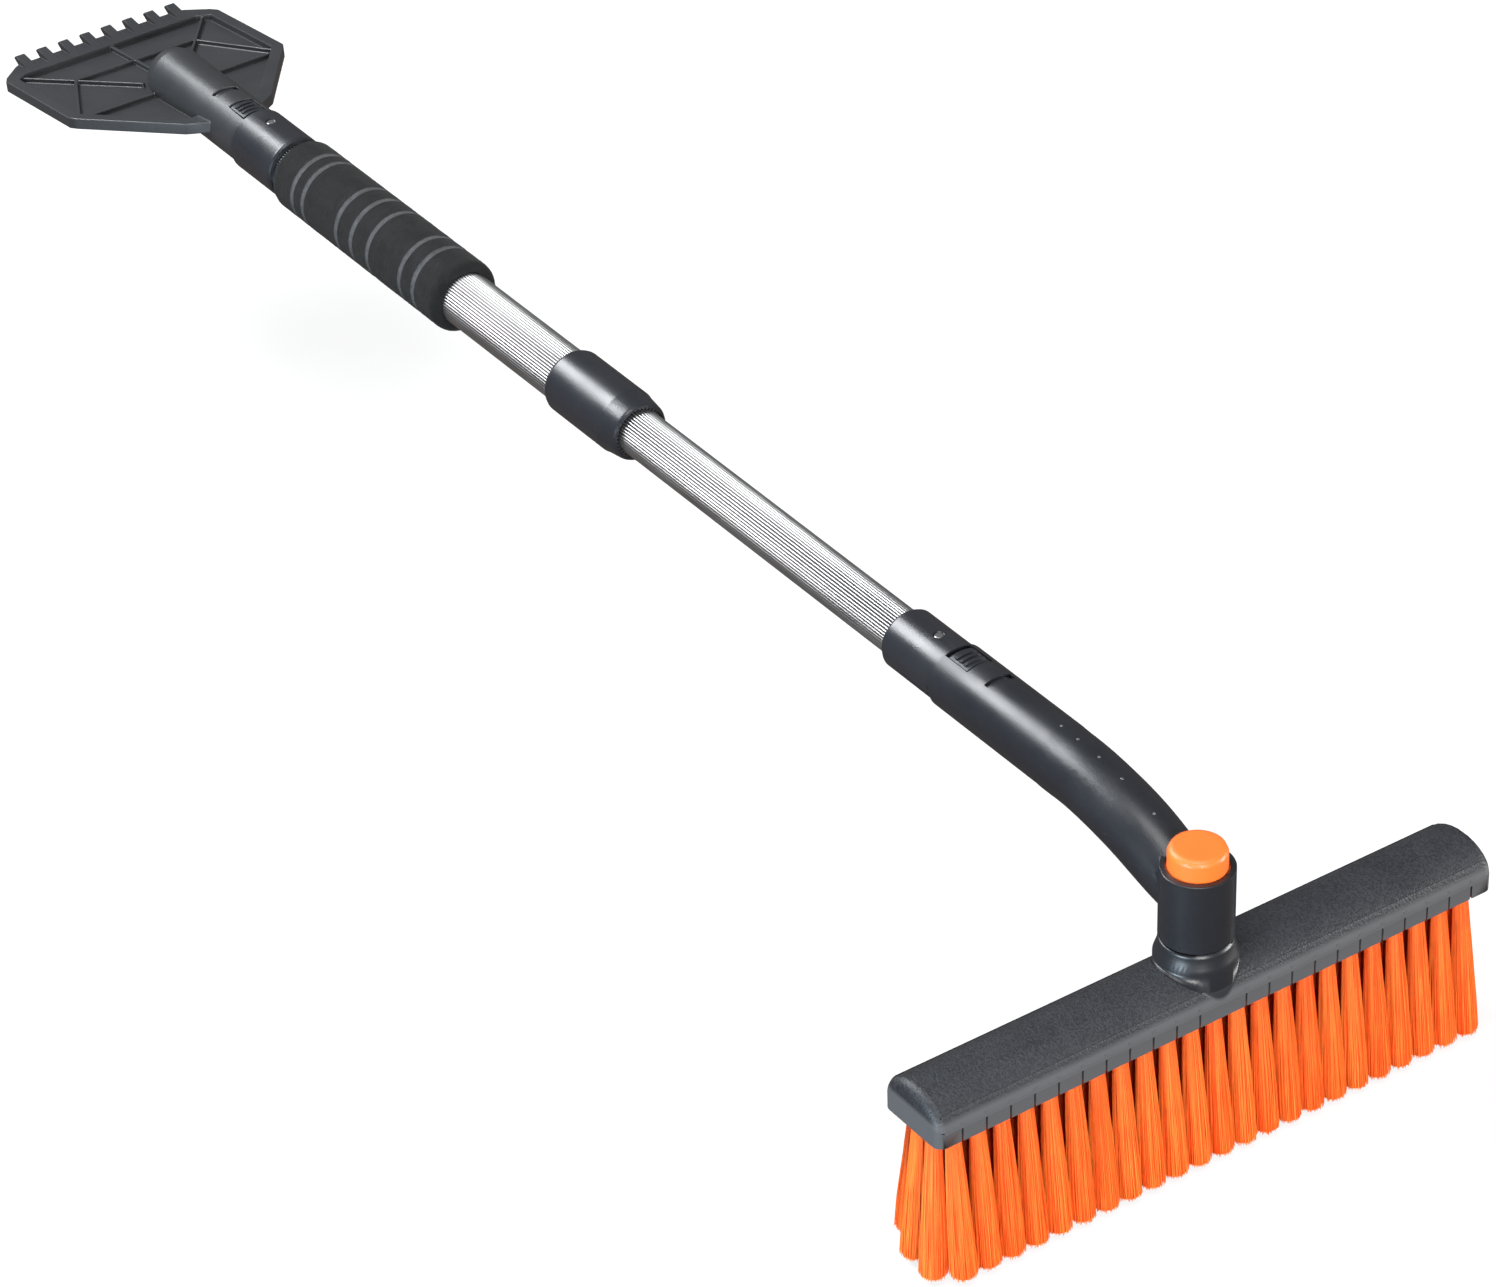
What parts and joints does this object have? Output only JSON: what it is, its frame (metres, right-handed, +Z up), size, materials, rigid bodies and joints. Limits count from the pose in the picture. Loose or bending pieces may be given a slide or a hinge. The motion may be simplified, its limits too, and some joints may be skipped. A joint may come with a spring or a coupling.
{
  "type": "snow brush scraper",
  "caption": "Telescoping snow brush with an ice scraper: a pole with a foam grip, a toothed scraper blade at one end and a swivelling bristle brush with a push-button pivot at the other.",
  "frame": {"origin": "on the head's pivot axis, level with the tips of the tufts", "axes": "+Z up along the pivot axis, the pole runs towards -X, the brush lies along Y"},
  "size_m": [0.9095, 0.2912, 0.1558],
  "materials": {
    "moulded_plastic": "fine-grained satin",
    "block_plastic": "matte",
    "acetal": "smooth",
    "button_plastic": "satin",
    "bristle": "fine filaments",
    "fluted_aluminium": "bright anodised, fluted",
    "foam": "closed-cell foam",
    "screw_steel": "zinc plated",
    "spring_steel": "drawn wire"
  },
  "bodies": {
    "outer_pole": {"outer_tube": "fluted_aluminium", "foam_grip": "foam", "collar_bush": "moulded_plastic", "scraper_ferrule": "moulded_plastic", "scraper_ferrule_screw": "screw_steel", "scraper_head": "moulded_plastic"},
    "collar": {"lock_collar": "moulded_plastic"},
    "scraper_latch": {"scraper_latch": "moulded_plastic"},
    "inner_pole": {"inner_tube": "fluted_aluminium", "inner_guide": "acetal", "neck_ferrule": "moulded_plastic", "neck_ferrule_screw": "screw_steel", "neck": "moulded_plastic"},
    "neck_latch": {"neck_latch": "moulded_plastic"},
    "lock_button": {"pivot_button": "button_plastic", "lock_gear": "acetal"},
    "brush_head": {"brush_cover": "moulded_plastic", "tuft_block": "block_plastic", "block_screws": "screw_steel", "pivot_screw": "screw_steel", "pivot_washer": "screw_steel", "button_spring": "spring_steel", "tufts_back": "bristle", "tufts_middle": "bristle", "tufts_front": "bristle", "tufts_ends": "bristle"}
  },
  "joints": [
    {"name": "telescope", "type": "slide", "parent": "outer_pole", "child": "inner_pole", "axis": [-1, 0, 0], "range_m": [0, 0.18]},
    {"name": "collar_twist", "type": "hinge", "parent": "outer_pole", "child": "collar", "pos_m": [-0.415, 0, 0.1378], "axis": [1, 0, 0], "range_deg": [0, 90]},
    {"name": "scraper_latch_press", "type": "hinge", "parent": "outer_pole", "child": "scraper_latch", "pos_m": [-0.7241, 0, 0.148], "axis": [0, -1, 0], "range_deg": [0, 5], "stiffness_Nm_per_rad": 0.8, "springref_deg": -2.29},
    {"name": "neck_latch_press", "type": "hinge", "parent": "inner_pole", "child": "neck_latch", "pos_m": [-0.1584, 0, 0.148], "axis": [0, 1, 0], "range_deg": [0, 5], "stiffness_Nm_per_rad": 0.8, "springref_deg": -2.29},
    {"name": "button_press", "type": "slide", "parent": "inner_pole", "child": "lock_button", "axis": [0, 0, -1], "range_m": [0, 0.007], "stiffness_N_per_m": 1200, "springref_m": -0.004, "deforming": ["button_spring"]},
    {"name": "head_swivel", "type": "hinge", "parent": "inner_pole", "child": "brush_head", "pos_m": [0, 0, 0.1045], "axis": [0, 0, 1], "continuous": true}
  ]
}
